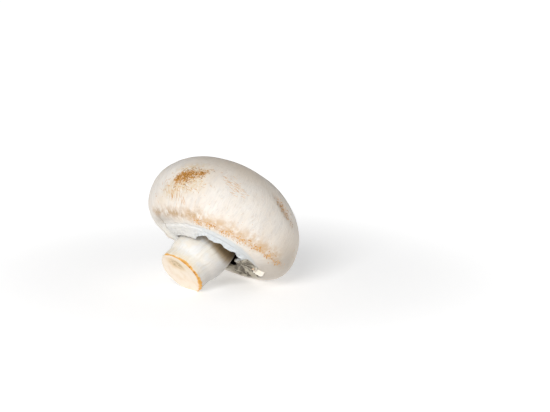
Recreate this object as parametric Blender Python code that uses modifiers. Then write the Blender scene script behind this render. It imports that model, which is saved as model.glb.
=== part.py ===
"""A button mushroom lying on its side: cap, torn veil and cut stem grown as one body, with gills inside.

The mushroom is shaped upright, in metres, with the cap's widest circle at height 0, the crown up and
the stem down. Around the cap's axis, 0 degrees is the side the stem leans to and 90 degrees the side
where the veil has torn. It is then laid down on its rim and on the lower edge of the cut stem.
"""

import math

import bmesh
import bpy
from mathutils import Euler, Vector

MM = 0.001

# Cap.
CAP_RADIUS = 25.0 * MM
CROWN_HEIGHT = 16.9 * MM  # widest circle up to the crown
CAP_LOP = 0.6 * MM  # the widest circle hangs lower on the side away from the stem's lean
UNEVEN = (0.008, 0.006)  # two-sided and three-sided unevenness of the outline, shares of the radius
RIM_RADIUS = 17.0 * MM  # where the rolled rim turns under into the veil
RIM_DROP = 10.1 * MM  # widest circle down to the rim
RIM_DROP_SWAY = 1.1 * MM  # the rim hangs lower on the torn side
RIM_DROP_SIDE = 60.0  # degrees round the axis
FLANK_TOP = 3.0 * MM  # height where the flank starts to be fuller than an ellipse
FLANK_FULLNESS = 0.035
FLANK_SWAY = 0.022  # fuller still away from the side the stem leans to
DENT_DEPTH = 0.5 * MM  # shallow hollow in the flank, above the rim
DENT_SIDE = 40.0
DENT_HALF_WIDTH = 60.0
CAP_STEPS = 90

# Hollow under the cap, closed below by the veil.
CHAMBER_RADIUS = 19.6 * MM
CHAMBER_BEND = 16.0 * MM  # radius where the roof starts to curve down into the wall
CHAMBER_ROOF = -0.4 * MM
VEIL_THICKNESS = 0.9 * MM
VEIL_SAG = 1.4 * MM  # how far the veil droops from the rim to the stem
VEIL_CLING = 1.2 * MM  # how far it is drawn down the stem where it still holds
VEIL_INNER_RADIUS = 7.5 * MM  # sunk into the stem where the veil is whole
WHOLE_EDGE = 1.5 * MM  # beyond the inner radius by this much, the veil is free of the stem
RAGGED = (0.20 * MM, 0.14 * MM)
# The torn edge stands off the stem between the tear's two ends, and runs close to the rim where the tear is open.
TEAR_START, TEAR_END = -15.0, 225.0  # degrees round the axis
TEAR_FADE = 15.0  # degrees over which it leaves the stem
TEAR_GAP = 1.5 * MM
OPEN_START, OPEN_END = 70.0, 140.0
OPEN_FADE = 10.0
OPEN_MARGIN = 1.2 * MM
FOLD_COUNT = 17
FOLD_DEPTH = 0.22 * MM

# Stem.
STEM_RADIUS = 9.0 * MM
STEM_END_RADIUS = 7.5 * MM
STEM_ROOT = 4.0 * MM  # height inside the cap's flesh where the stem starts
STEM_LENGTH = 21.8 * MM  # widest circle of the cap down to the cut
CUT_HOLLOW = 0.5 * MM
STEM_LEAN = 3.7 * MM
STEM_LEAN_TO_TEAR = 0.5 * MM
LEAN_START = 9.0 * MM
CUT_TILT = math.radians(12.3)
CUT_TILT_TO_TEAR = math.radians(9.0)
STEM_STEPS = 48

# Shred of the veil at the end of the tear: rooted in the rim, its free end curled down.
SHRED_ROOT = 19.4 * MM
SHRED_END = 14.6 * MM
SHRED_WIDTH = 2.2 * MM
SHRED_THICKNESS = 0.9 * MM
SHRED_DROP = 1.7 * MM
SHRED_ANGLE = math.radians(168)

# Gills.
GILL_COUNT = 60
GILL_THICKNESS = 0.62 * MM
GILL_INNER_RADIUS = 10.4 * MM
GILL_OUTER_RADIUS = 18.3 * MM
GILL_DEPTH = 5.6 * MM
GILL_BED = 0.9 * MM  # the thin bed that the gills hang from
CLEARANCE = 0.35 * MM

# Resting pose: the crown's tilt from upright, and the way it then points.
SPIN = math.radians(136.0)
TILT = math.radians(41.6)
HEADING = math.radians(45.7)
FLAT_DEPTH = 0.45 * MM  # how much of the rim the resting spot flattens

FLESH_COLOUR = (0.86, 0.80, 0.72, 1.0)
GILL_COLOUR = (0.42, 0.27, 0.21, 1.0)


def smooth(low, high, value):
    """0 below low, 1 above high, and an easy curve between them."""
    share = min(1.0, max(0.0, (value - low) / (high - low)))
    return share * share * (3.0 - 2.0 * share)


def bell(angle, centre, half_width):
    """1 at the centre angle, falling to 0 at half_width on both sides, all in degrees."""
    away = abs((angle - centre + 180.0) % 360.0 - 180.0)
    return math.cos(math.radians(90.0 * min(1.0, away / half_width))) ** 2


def collection_named(name, hidden=False):
    found = bpy.data.collections.new(name)
    bpy.context.scene.collection.children.link(found)
    found.hide_render = hidden
    return found


def material_named(name, colour, roughness):
    made = bpy.data.materials.new(name)
    made.use_nodes = True
    shader = made.node_tree.nodes["Principled BSDF"]
    shader.inputs["Base Color"].default_value = colour
    shader.inputs["Roughness"].default_value = roughness
    shader.inputs["Metallic"].default_value = 0.0
    return made


def evaluated_mesh(obj):
    bpy.context.view_layer.update()
    graph = bpy.context.evaluated_depsgraph_get()
    return bpy.data.meshes.new_from_object(obj.evaluated_get(graph))


def applied(obj):
    """Replaces the object's mesh by what its modifiers make of it."""
    mesh = evaluated_mesh(obj)
    obj.modifiers.clear()
    obj.data = mesh
    return obj


def turned(name, profile, steps, collection):
    """A body turned from (radius, height) points that run down its outer side and end on the axis."""
    mesh = bpy.data.meshes.new(name)
    points = [(radius, 0.0, height) for radius, height in profile]
    mesh.from_pydata(points, [(i, i + 1) for i in range(len(points) - 1)], [])
    obj = bpy.data.objects.new(name, mesh)
    collection.objects.link(obj)
    screw = obj.modifiers.new("turn", "SCREW")
    screw.steps = steps
    screw.render_steps = steps
    screw.use_merge_vertices = True
    screw.merge_threshold = 0.00001
    return applied(obj)


def arc(centre, radii, start, end, count):
    """Points of an ellipse from one angle to another, in degrees, both ends included."""
    angles = [math.radians(start + (end - start) * i / (count - 1)) for i in range(count)]
    return [
        (centre[0] + radii[0] * math.cos(a), centre[1] + radii[1] * math.sin(a)) for a in angles
    ]


def cap_profile():
    """Crown, flank and rolled rim, then the veil's two faces, the chamber's wall and its roof."""
    crown = arc((0.0, 0.0), (CAP_RADIUS, CROWN_HEIGHT), 90, 0, 12)
    flank = arc((RIM_RADIUS, 0.0), (CAP_RADIUS - RIM_RADIUS, RIM_DROP), 0, -90, 9)[1:]
    veil_top = -RIM_DROP + VEIL_THICKNESS
    spread = [i / 5 for i in range(6)]
    reach = VEIL_INNER_RADIUS - RIM_RADIUS
    under = [(RIM_RADIUS + reach * s, -RIM_DROP - VEIL_SAG * s) for s in spread[1:]]
    over = [(radius, height + VEIL_THICKNESS) for radius, height in reversed(under)]
    half = (CHAMBER_ROOF - veil_top) / 2
    wall = arc((CHAMBER_BEND, veil_top + half), (CHAMBER_RADIUS - CHAMBER_BEND, half), -90, 90, 9)
    roof = [(STEM_RADIUS, CHAMBER_ROOF), (0.0, CHAMBER_ROOF)]
    return crown + flank + under + over + wall + roof


def between(start, end, fade, angle):
    """1 from start to end and 0 outside them, easing over a fade that lies inside."""
    return smooth(start, start + fade, angle) * (1.0 - smooth(end - fade, end, angle))


def tear_radius(angle):
    """How far from the axis the veil's torn edge lies, at an angle in degrees."""
    around = (angle + 90.0) % 360.0 - 90.0
    torn = between(TEAR_START, TEAR_END, TEAR_FADE, around)
    opened = between(OPEN_START - OPEN_FADE, OPEN_END + OPEN_FADE, 2 * OPEN_FADE, around)
    free = STEM_RADIUS + TEAR_GAP
    edge = VEIL_INNER_RADIUS + (free - VEIL_INNER_RADIUS) * torn
    edge += (RIM_RADIUS - OPEN_MARGIN - free) * opened
    turn = math.radians(angle)
    ragged = RAGGED[0] * math.sin(11 * turn + 0.6) + RAGGED[1] * math.sin(19 * turn + 2.1)
    return edge + ragged * (1.0 - wholeness(edge))


def wholeness(edge):
    """1 where the veil's edge is sunk in the stem, 0 where it is free."""
    return 1.0 - smooth(VEIL_INNER_RADIUS, VEIL_INNER_RADIUS + WHOLE_EDGE, edge)


def shape_veil(radius, height, angle):
    """Pulls the veil back to its torn edge, and folds it and draws it down the stem where it holds."""
    is_veil = 1.0 - smooth(-RIM_DROP + 1.0 * MM, -RIM_DROP + 2.0 * MM, height)
    across = is_veil * max(0.0, (RIM_RADIUS - radius) / (RIM_RADIUS - VEIL_INNER_RADIUS))
    if across == 0.0:
        return radius, height
    edge = tear_radius(angle)
    folds = FOLD_DEPTH * math.sin(FOLD_COUNT * math.radians(angle)) * smooth(0.0, 0.5, across)
    drawn = (folds - VEIL_CLING * across**2) * wholeness(edge)
    return RIM_RADIUS + (edge - RIM_RADIUS) * across, height + drawn


def shape_cap(point):
    """Gives the turned cap its uneven outline, fuller flank, dent, hanging rim and torn veil."""
    turn = math.atan2(point.y, point.x)
    angle = math.degrees(turn)
    radius, height = shape_veil(math.hypot(point.x, point.y), point.z, angle)
    low = 1.0 - smooth(-RIM_DROP, FLANK_TOP, height)
    outer = smooth(RIM_RADIUS * 0.7, CAP_RADIUS, radius)
    height -= RIM_DROP_SWAY * math.cos(math.radians(angle - RIM_DROP_SIDE)) * low
    height -= CAP_LOP * (1.0 - math.cos(turn)) / 2 * outer
    uneven = UNEVEN[0] * math.cos(2 * turn + 2.2) + UNEVEN[1] * math.cos(3 * turn - 1.1)
    fuller = (FLANK_FULLNESS - FLANK_SWAY * math.cos(turn)) * low
    dented = smooth(RIM_RADIUS, CAP_RADIUS * 0.9, radius) * math.sin(math.pi * low)
    radius *= 1.0 + outer * (uneven + fuller)
    radius -= DENT_DEPTH * bell(angle, DENT_SIDE, DENT_HALF_WIDTH) * dented
    return Vector((radius * math.cos(turn), radius * math.sin(turn), height))


def stem_profile():
    """From the axis inside the flesh, down the side over a slight shoulder, to the hollowed cut."""
    end = -STEM_LENGTH
    side = [
        (STEM_RADIUS * 0.96, STEM_ROOT),
        (STEM_RADIUS * 0.97, 0.0),
        (STEM_RADIUS, -8.0 * MM),
        (STEM_RADIUS, -12.0 * MM),
        (STEM_RADIUS * 0.985, -14.5 * MM),
        (STEM_RADIUS * 0.935, -16.3 * MM),
        (STEM_END_RADIUS * 1.02, -18.0 * MM),
        (STEM_END_RADIUS * 1.0, end + 2.0 * MM),
        (STEM_END_RADIUS * 1.01, end + 0.6 * MM),
        (STEM_END_RADIUS * 0.985, end + 0.1 * MM),
        (STEM_END_RADIUS * 0.93, end),
    ]
    cut = [(STEM_END_RADIUS * 0.6, end + CUT_HOLLOW * 0.6), (0.0, end + CUT_HOLLOW)]
    return [(0.0, STEM_ROOT)] + side + cut


def shape_stem(point):
    """Leans the stem and tilts its cut."""
    share = smooth(LEAN_START, STEM_LENGTH, -point.z)
    drift = smooth(LEAN_START, STEM_LENGTH + 2.0 * MM, -point.z)
    turn = math.atan2(point.y, point.x)
    uneven = 1.0 + 0.015 * math.cos(2 * turn + 1.0) + 0.01 * math.cos(3 * turn)
    rise = point.x * math.tan(CUT_TILT) + point.y * math.tan(CUT_TILT_TO_TEAR)
    return Vector(
        (
            point.x * uneven + STEM_LEAN * drift,
            point.y * uneven + STEM_LEAN_TO_TEAR * drift,
            point.z + rise * share,
        )
    )


def reshape(obj, rule):
    for vertex in obj.data.vertices:
        vertex.co = rule(vertex.co.copy())


def shred(collection):
    """A narrow strip of veil that curls away from the end of the tear."""
    bpy.ops.mesh.primitive_cube_add(size=1.0)
    obj = bpy.context.object
    obj.name = "shred"
    for owner in list(obj.users_collection):
        owner.objects.unlink(obj)
    collection.objects.link(obj)
    mesh = bmesh.new()
    mesh.from_mesh(obj.data)
    along = [edge for edge in mesh.edges if abs(edge.verts[0].co.x - edge.verts[1].co.x) > 0.5]
    bmesh.ops.subdivide_edges(mesh, edges=along, cuts=7)
    for vertex in mesh.verts:
        vertex.co = shape_shred(vertex.co.copy())
    mesh.to_mesh(obj.data)
    mesh.free()
    return obj


def shape_shred(point):
    """Bends a unit block from the rim to its curled free end, narrowing on the way."""
    share = point.x + 0.5
    radius = SHRED_ROOT + (SHRED_END - SHRED_ROOT) * share
    curl = SHRED_DROP * (0.7 * share + 0.3 * share**6)
    height = -RIM_DROP + 0.7 * MM - curl + point.z * SHRED_THICKNESS
    side = point.y * SHRED_WIDTH * (1.0 - 0.3 * share)
    return Vector(
        (
            radius * math.cos(SHRED_ANGLE) - side * math.sin(SHRED_ANGLE),
            radius * math.sin(SHRED_ANGLE) + side * math.cos(SHRED_ANGLE),
            height,
        )
    )


def union_of(target, collection):
    """Joins every object of the collection to the target, then removes them."""
    join = target.modifiers.new("join", "BOOLEAN")
    join.operation = "UNION"
    join.operand_type = "COLLECTION"
    join.collection = collection
    applied(target)
    for piece in list(collection.objects):
        bpy.data.objects.remove(piece)
    return target


def cap_and_stem(parts, joins):
    body = turned("cap_and_stem", cap_profile(), CAP_STEPS, parts)
    reshape(body, shape_cap)
    stem = turned("stem", stem_profile(), STEM_STEPS, joins)
    reshape(stem, shape_stem)
    shred(joins)
    union_of(body, joins)
    body.data.materials.append(material_named("white_flesh", FLESH_COLOUR, 0.6))
    return body


def gill_roof(radius):
    """Height of the gills' bed at a radius: flat by the stem, falling towards the chamber's wall."""
    past = max(0.0, (radius - CHAMBER_BEND) / (CHAMBER_RADIUS - CHAMBER_BEND))
    half = (RIM_DROP - VEIL_THICKNESS + CHAMBER_ROOF) / 2
    return CHAMBER_ROOF - half + half * math.sqrt(1.0 - past * past) - CLEARANCE


def steps_across(inner, outer, count=5):
    return [inner + (outer - inner) * i / (count - 1) for i in range(count)]


def gill_outline():
    """(radius, height) round one gill: along its root, and back along its curved free edge."""
    radii = steps_across(GILL_INNER_RADIUS, GILL_OUTER_RADIUS - 0.15 * MM)
    root = [(radius, gill_roof(radius) - GILL_BED * 0.4) for radius in radii]
    free = []
    for i, radius in enumerate(reversed(radii)):
        bulge = math.sin(math.pi * (0.12 + 0.76 * i / (len(radii) - 1)))
        free.append((radius, gill_roof(radius) - GILL_BED - (GILL_DEPTH - GILL_BED) * bulge))
    return root + free


def gill_blade(angle, collection):
    mesh = bpy.data.meshes.new("gill")
    blade = bmesh.new()
    side = -GILL_THICKNESS / 2
    ring = [blade.verts.new((radius, side, height)) for radius, height in gill_outline()]
    swept = bmesh.ops.extrude_face_region(blade, geom=[blade.faces.new(ring)])
    moved = [item for item in swept["geom"] if isinstance(item, bmesh.types.BMVert)]
    bmesh.ops.translate(blade, verts=moved, vec=(0.0, GILL_THICKNESS, 0.0))
    bmesh.ops.recalc_face_normals(blade, faces=blade.faces)
    blade.to_mesh(mesh)
    blade.free()
    obj = bpy.data.objects.new("gill", mesh)
    obj.rotation_euler.z = angle
    collection.objects.link(obj)


def gills(parts, joins):
    """A ring of radial blades hanging from a thin bed, shaped with the cap so that the gap stays even."""
    radii = steps_across(GILL_OUTER_RADIUS, GILL_INNER_RADIUS)
    top = [(radius, gill_roof(radius)) for radius in reversed(radii)]
    bottom = [(radius, gill_roof(radius) - GILL_BED) for radius in radii]
    body = turned("gills", top + bottom + top[:1], GILL_COUNT, parts)
    for i in range(GILL_COUNT):
        gill_blade(2 * math.pi * (i + 0.5) / GILL_COUNT, joins)
    union_of(body, joins)
    reshape(body, shape_cap)
    body.data.materials.append(material_named("brown_gills", GILL_COLOUR, 0.7))
    return body


def lowest_and_middle(objects):
    corners = [obj.matrix_world @ vertex.co for obj in objects for vertex in obj.data.vertices]
    low = [min(corner[axis] for corner in corners) for axis in range(3)]
    high = [max(corner[axis] for corner in corners) for axis in range(3)]
    return low[2], (low[0] + high[0]) / 2, (low[1] + high[1]) / 2


def lay_down(objects):
    """Turns the mushroom into its resting pose, sunk by the depth of the flat spot."""
    pose = bpy.data.objects.new("resting_pose", None)
    bpy.context.scene.collection.objects.link(pose)
    turn = Euler((0, 0, HEADING)).to_matrix() @ Euler((0, TILT, 0)).to_matrix()
    pose.rotation_euler = (turn @ Euler((0, 0, SPIN)).to_matrix()).to_euler()
    for obj in objects:
        obj.parent = pose
    bpy.context.view_layer.update()
    low, middle_x, middle_y = lowest_and_middle(objects)
    pose.location = (-middle_x, -middle_y, -low - FLAT_DEPTH)
    bpy.context.view_layer.update()


def flatten(body, cutters):
    """Cuts the resting spot: everything below the surface the mushroom lies on."""
    side = 8 * CAP_RADIUS
    bpy.ops.mesh.primitive_cube_add(size=side, location=(0, 0, -side / 2))
    floor = bpy.context.object
    floor.name = "surface"
    for owner in list(floor.users_collection):
        owner.objects.unlink(floor)
    cutters.objects.link(floor)
    floor.hide_render = True
    floor.display_type = "WIRE"
    cut = body.modifiers.new("resting_spot", "BOOLEAN")
    cut.operation = "DIFFERENCE"
    cut.object = floor


def main():
    for obj in list(bpy.data.objects):
        bpy.data.objects.remove(obj)
    parts = collection_named("button_mushroom")
    cutters = collection_named("cutters", hidden=True)
    joins = collection_named("joins", hidden=True)
    body = cap_and_stem(parts, joins)
    blades = gills(parts, joins)
    lay_down([body, blades])
    flatten(body, cutters)
    for obj in (body, blades):
        obj.data.shade_smooth()
        obj.data.set_sharp_from_angle(angle=math.radians(40))


main()
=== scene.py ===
import math

import bmesh
import bpy
import numpy as np
from mathutils import Euler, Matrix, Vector


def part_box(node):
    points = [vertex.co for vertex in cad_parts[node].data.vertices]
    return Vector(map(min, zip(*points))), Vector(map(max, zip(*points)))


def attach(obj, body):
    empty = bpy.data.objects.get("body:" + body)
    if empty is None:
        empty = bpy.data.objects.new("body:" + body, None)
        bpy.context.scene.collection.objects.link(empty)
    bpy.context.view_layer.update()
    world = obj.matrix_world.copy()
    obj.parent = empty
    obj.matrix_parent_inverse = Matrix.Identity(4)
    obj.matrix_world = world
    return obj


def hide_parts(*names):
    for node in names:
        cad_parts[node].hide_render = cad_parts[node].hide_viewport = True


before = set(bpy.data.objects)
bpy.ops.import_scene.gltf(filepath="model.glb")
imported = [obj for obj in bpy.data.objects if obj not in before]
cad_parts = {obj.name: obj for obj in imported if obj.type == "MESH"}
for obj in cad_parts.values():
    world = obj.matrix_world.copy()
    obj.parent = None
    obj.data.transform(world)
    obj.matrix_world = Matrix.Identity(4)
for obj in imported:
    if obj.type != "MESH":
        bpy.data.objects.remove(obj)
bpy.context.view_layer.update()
mm = 0.001
print("frame loaded:", ", ".join(sorted(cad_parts)))


# Small helpers: soft steps, soft patches, even noise, colours


def smooth(low, high, value):
    share = np.clip((value - low) / (high - low), 0.0, 1.0)
    return share * share * (3.0 - 2.0 * share)


def ranged(value, start, full, fading, end):
    # 1 from full to fading, easing to 0 at start and at end
    return smooth(start, full, value) * (1.0 - smooth(fading, end, value))


def between(start, end, fade, value):
    return ranged(value, start, start + fade, end - fade, end)


def bell(value, centre, halfWidth):
    return np.cos(0.5 * np.pi * np.clip(np.abs(value - centre) / halfWidth, 0.0, 1.0)) ** 2


def around(angle, centre):
    return (angle - centre + 180.0) % 360.0 - 180.0


def angleBell(angle, centre, halfWidth):
    return bell(around(angle, centre), 0.0, halfWidth)


def hashed(x, y, z, seed):
    mixed = (x * 73856093) ^ (y * 19349663) ^ (z * 83492791) ^ (seed * 40503)
    mixed = ((mixed ^ (mixed >> 15)) * 2246822519) & 0xFFFFFFFF
    mixed = ((mixed ^ (mixed >> 13)) * 3266489917) & 0xFFFFFFFF
    return ((mixed ^ (mixed >> 16)) & 0xFFFF) / 32767.5 - 1.0


def noise(points, scale=1.0, seed=0):
    # even noise from -1 to 1; the last axis of points is x, y, z
    scaled = points * scale
    cell = np.floor(scaled).astype(np.int64)
    part = scaled - cell
    ease = part**3 * (part * (part * 6.0 - 15.0) + 10.0)
    total = 0.0
    for corner in np.ndindex(2, 2, 2):
        weight = np.where(corner, ease, 1.0 - ease).prod(-1)
        total = total + weight * hashed(*np.moveaxis(cell + corner, -1, 0), seed)
    return total


def layered(points, scale=1.0, seed=0, layers=3, gain=0.5):
    total, strength = 0.0, 1.0
    for layer in range(layers):
        total = total + strength * noise(points, scale * 2.0**layer, seed + layer)
        strength *= gain
    return total


def tint(red, green, blue):
    # a colour as the eye names it, 0 to 255, as the shader's linear values
    shares = [value / 255.0 for value in (red, green, blue)]
    return tuple(s / 12.92 if s <= 0.04045 else ((s + 0.055) / 1.055) ** 2.4 for s in shares) + (1.0,)


# Grids of points round an axis, and the closed meshes made from them


def gridNormals(points):
    along = np.gradient(points, axis=0)
    turning = np.roll(points, -1, axis=1) - np.roll(points, 1, axis=1)
    normal = np.cross(along, turning)
    return normal / np.maximum(np.linalg.norm(normal, axis=-1, keepdims=True), 1e-12)


def ringMesh(name, points, marks, poles=(True, True)):
    # rows run from the first pole to the last; marks are numbers or vectors kept at each point
    rows, columns = points.shape[:2]
    first = 1 if poles[0] else 0
    last = rows - 1 if poles[1] else rows
    vertices = [points[first:last].reshape(-1, 3)]
    ring = np.arange(columns)
    turned = (ring + 1) % columns
    faces = []
    for row in range(last - first - 1):
        low, high = row * columns, (row + 1) * columns
        faces += np.stack([low + ring, high + ring, high + turned, low + turned], 1).tolist()
    count = len(vertices[0])
    if poles[0]:
        vertices.append(points[0].mean(axis=0)[None])
        faces += [(count, int(a), int(b)) for a, b in zip(ring, turned)]
        count += 1
    if poles[1]:
        vertices.append(points[-1].mean(axis=0)[None])
        start = (last - first - 1) * columns
        faces += [(count, start + int(b), start + int(a)) for a, b in zip(ring, turned)]
    mesh = bpy.data.meshes.new(name)
    mesh.from_pydata(np.concatenate(vertices).tolist(), [], faces)
    for label, values in marks.items():
        kept = [values[first:last].reshape(-1, *values.shape[2:])]
        kept += [values[0].mean(axis=0)[None]] if poles[0] else []
        kept += [values[-1].mean(axis=0)[None]] if poles[1] else []
        storeMark(mesh, label, np.concatenate(kept))
    mesh.shade_smooth()
    return linked(name, mesh)


def storeMark(mesh, label, values):
    values = np.ascontiguousarray(values, np.float32)
    if values.ndim == 2:
        mesh.attributes.new(label, "FLOAT_VECTOR", "POINT").data.foreach_set("vector", values.ravel())
    else:
        mesh.attributes.new(label, "FLOAT", "POINT").data.foreach_set("value", values)


def linked(name, mesh):
    piece = bpy.data.objects.new(name, mesh)
    bpy.context.scene.collection.objects.link(piece)
    return piece


def evenly(points, count):
    # the same line with its points at even steps
    line = np.array(points, float)
    steps = lengthAlong(line)
    wanted = np.linspace(0.0, steps[-1], count)
    return np.stack([np.interp(wanted, steps, line[:, axis]) for axis in range(line.shape[1])], 1)


def lengthAlong(line):
    return np.concatenate([[0.0], np.cumsum(np.linalg.norm(np.diff(line, axis=0), axis=1))])


def softened(points, count):
    # an even, smooth line through the points
    line = np.array(points, float)
    wanted = np.linspace(0, len(line) - 1, count * 4)
    first = np.clip(np.floor(wanted).astype(int), 0, len(line) - 2)
    share = (wanted - first)[:, None]
    before, start = line[np.maximum(first - 1, 0)], line[first]
    end, after = line[first + 1], line[np.minimum(first + 2, len(line) - 1)]
    curve = 0.5 * (
        2 * start + (end - before) * share + (2 * before - 5 * start + 4 * end - after) * share**2
        + (3 * start - before - 3 * end + after) * share**3
    )
    return evenly(curve, count)


def onRing(radius, turn, height):
    # points round the axis; turn is in radians
    return np.stack(np.broadcast_arrays(radius * np.cos(turn), radius * np.sin(turn), height), -1)


def spun(values, count):
    # a column of values, the same all round
    return np.repeat(values[:, None], count, 1)


def arc(centre, radii, start, end, count=200):
    angles = np.radians(np.linspace(start, end, count))
    return np.stack([centre[0] + radii[0] * np.cos(angles), centre[1] + radii[1] * np.sin(angles)], 1)


# The mushroom is shaped upright, crown up, then laid down as the frame's solid lies
restPose = {"spin": 136.0, "tilt": 41.6, "heading": 45.7}
layDown = np.array(
    Euler((0, 0, math.radians(restPose["heading"]))).to_matrix()
    @ Euler((0, math.radians(restPose["tilt"]), 0)).to_matrix()
    @ Euler((0, 0, math.radians(restPose["spin"]))).to_matrix()
)


def laid(points):
    return points @ layDown.T


def settle(points, place):
    # moved to its place, with anything past the solid's box pressed back to it
    return np.clip(laid(points) * place["scale"] + place["shift"], place["low"], place["high"])


cap = {
    "radius": 25.0 * mm,
    "crownHeight": 16.9 * mm,
    "lop": 0.6 * mm,
    "uneven": (0.008, 0.006),
    "rimRadius": 17.0 * mm,
    "rimDrop": 10.1 * mm,
    "rimSway": 1.1 * mm,
    "rimSide": 60.0,
    "flankTop": 3.0 * mm,
    "flankFullness": 0.035,
    "flankSway": 0.022,
    "dentDepth": 0.5 * mm,
    "dentSide": 40.0,
    "dentHalfWidth": 60.0,
    "columns": 400,
    "crowding": 0.055,  # columns stand closer together on the torn side
    "crowdedSide": 100.0,
    "rows": {"crown": 88, "flank": 58, "under": 58, "edge": 7, "over": 14, "wall": 14, "roof": 4},
    # relief
    "lumps": 0.11 * mm,
    "silkRelief": 0.03 * mm,
    "groove": (130, 25.0, 16, 3.0, 0.16),  # angle, mm down from the crown, half width, half height, slope
    "grooveDepth": 0.55 * mm,
    "leftHollow": (30, 43.5, 28, 2.5, 0.0),
    "leftHollowDepth": 0.40 * mm,
    "litFlap": (340, 50.0, 20, 3.0, 0.0),
    "flapHeight": 0.40 * mm,
    "shadedFlapCrease": (5, 50.0, 13, 0.8, -0.4),
    "flapCreaseDepth": 0.50 * mm,
    "creaseDepth": 0.30 * mm,
    "creaseWidth": 0.9 * mm,
    "rollHeight": 0.14 * mm,
    "sideBump": (315.0, 46.0, 5.0, 1.3, 0.0),
    "sideBumpHeight": 0.55 * mm,
    # the skin ends on the rim: lower where the veil hangs, higher over the open tear (angle, half width, mm)
    "skinEnd": 47.5,
    "skinLow": (25.0, 60.0, 2.4),
    "skinHigh": (105.0, 60.0, 2.2),
}

veil = {
    "thickness": 0.9 * mm,
    "sag": 1.4 * mm,
    "cling": 1.2 * mm,
    "innerRadius": 7.5 * mm,
    "wholeEdge": 1.5 * mm,
    "foldCount": 17,
    "foldDepth": 0.22 * mm,
    "ragged": (0.08 * mm, 0.07 * mm),
    # degrees round the axis; the edge stands off the stem, and runs close to the rim where the tear is open
    "tear": (-15.0, 225.0),
    "tearFade": 15.0,
    "tearGap": 1.5 * mm,
    "open": (70.0, 140.0),
    "openFade": 10.0,
    "openMargin": 1.2 * mm,
    "steps": {
        "count": 3, "start": 82.0, "pitch": 18.0, "halfWidth": 6.0,
        "depth": 0.8 * mm, "curl": 0.4 * mm,
    },
    "frayDepth": 0.22 * mm,
    "frayWidth": 3.0,
    "relief": 0.13 * mm,
    "layerStep": 0.08 * mm,
    "layerReach": 1.6 * mm,
    "ledgeInset": 0.5 * mm,  # inside the rim's turn
    "ledgeDepth": 1.15 * mm,
    "ledgeSides": (134, 142, 168, 184),  # degrees: starts, is full, fades, ends
    "ledgeReach": (11.5 * mm, 15.0 * mm),
    "rimClear": 0.35 * mm,  # the torn edge never comes nearer to the rim
    "fanMiddle": (-11.0 * mm, 5.2 * mm),
    "strands": 0.42 * mm,
}

chamber = {"radius": 19.6 * mm, "bend": 16.0 * mm, "roof": -0.4 * mm}


def capProfile():
    # (radius, height), the length down from the crown, and which stretch each point is on
    rows = cap["rows"]
    rim, drop, inner = cap["rimRadius"], cap["rimDrop"], veil["innerRadius"]
    crown = evenly(arc((0, 0), (cap["radius"], cap["crownHeight"]), 90, 0), rows["crown"])
    flank = evenly(arc((rim, 0), (cap["radius"] - rim, drop), 0, -90), rows["flank"] + 1)[1:]
    low, top = -drop - veil["sag"], -drop + veil["thickness"]
    under = evenly([(rim, -drop), (inner, low)], rows["under"] + 1)[1:]
    thick = veil["thickness"] / 2
    edge = arc((inner, low + thick), (0.35 * mm, thick), -90, -270, rows["edge"] + 2)
    half = (chamber["roof"] - top) / 2
    bend = chamber["bend"]
    over = evenly([(inner, low + veil["thickness"]), (bend, top)], rows["over"] + 1)[:-1]
    wall = arc((bend, top + half), (chamber["radius"] - bend, half), -90, 90, rows["wall"])
    roof = evenly([(bend * 0.9, chamber["roof"]), (0, chamber["roof"])], rows["roof"])
    stretches = dict(crown=crown, flank=flank, under=under, edge=edge[1:-1], over=over, wall=wall, roof=roof)
    line = np.concatenate(list(stretches.values()))
    names = np.concatenate([[name] * len(part) for name, part in stretches.items()])
    return line, lengthAlong(line) / mm, names


def tornSteps(angle):
    # 1 at each place where the veil broke further back
    steps = veil["steps"]
    places = steps["start"] + steps["pitch"] * np.arange(steps["count"])
    return sum(angleBell(angle, place, steps["halfWidth"]) for place in places)


def tearRadius(angle):
    # how far from the axis the veil's torn edge lies
    side = (angle + 90.0) % 360.0 - 90.0
    fade, inner, free = veil["openFade"], veil["innerRadius"], stem["radius"] + veil["tearGap"]
    opened = between(veil["open"][0] - fade, veil["open"][1] + fade, 2 * fade, side)
    edge = inner + (free - inner) * between(*veil["tear"], veil["tearFade"], side)
    edge = edge + (cap["rimRadius"] - veil["openMargin"] - free) * opened
    turn = np.radians(angle)
    ragged = veil["ragged"][0] * np.sin(11 * turn + 0.6) + veil["ragged"][1] * np.sin(19 * turn + 2.1)
    ring = onRing(10.0, turn, 0.0)
    ragged = ragged + veil["frayDepth"] * layered(ring, veil["frayWidth"], 5, layers=3, gain=0.7)
    ragged = ragged + veil["steps"]["depth"] * tornSteps(angle)
    edge = edge + ragged * (1.0 - wholeness(edge))
    return np.minimum(edge, cap["rimRadius"] - veil["rimClear"])


def wholeness(edge):
    # 1 where the veil's edge is sunk in the stem, 0 where it is free
    inner = veil["innerRadius"]
    return 1.0 - smooth(inner, inner + veil["wholeEdge"], edge)


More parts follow.
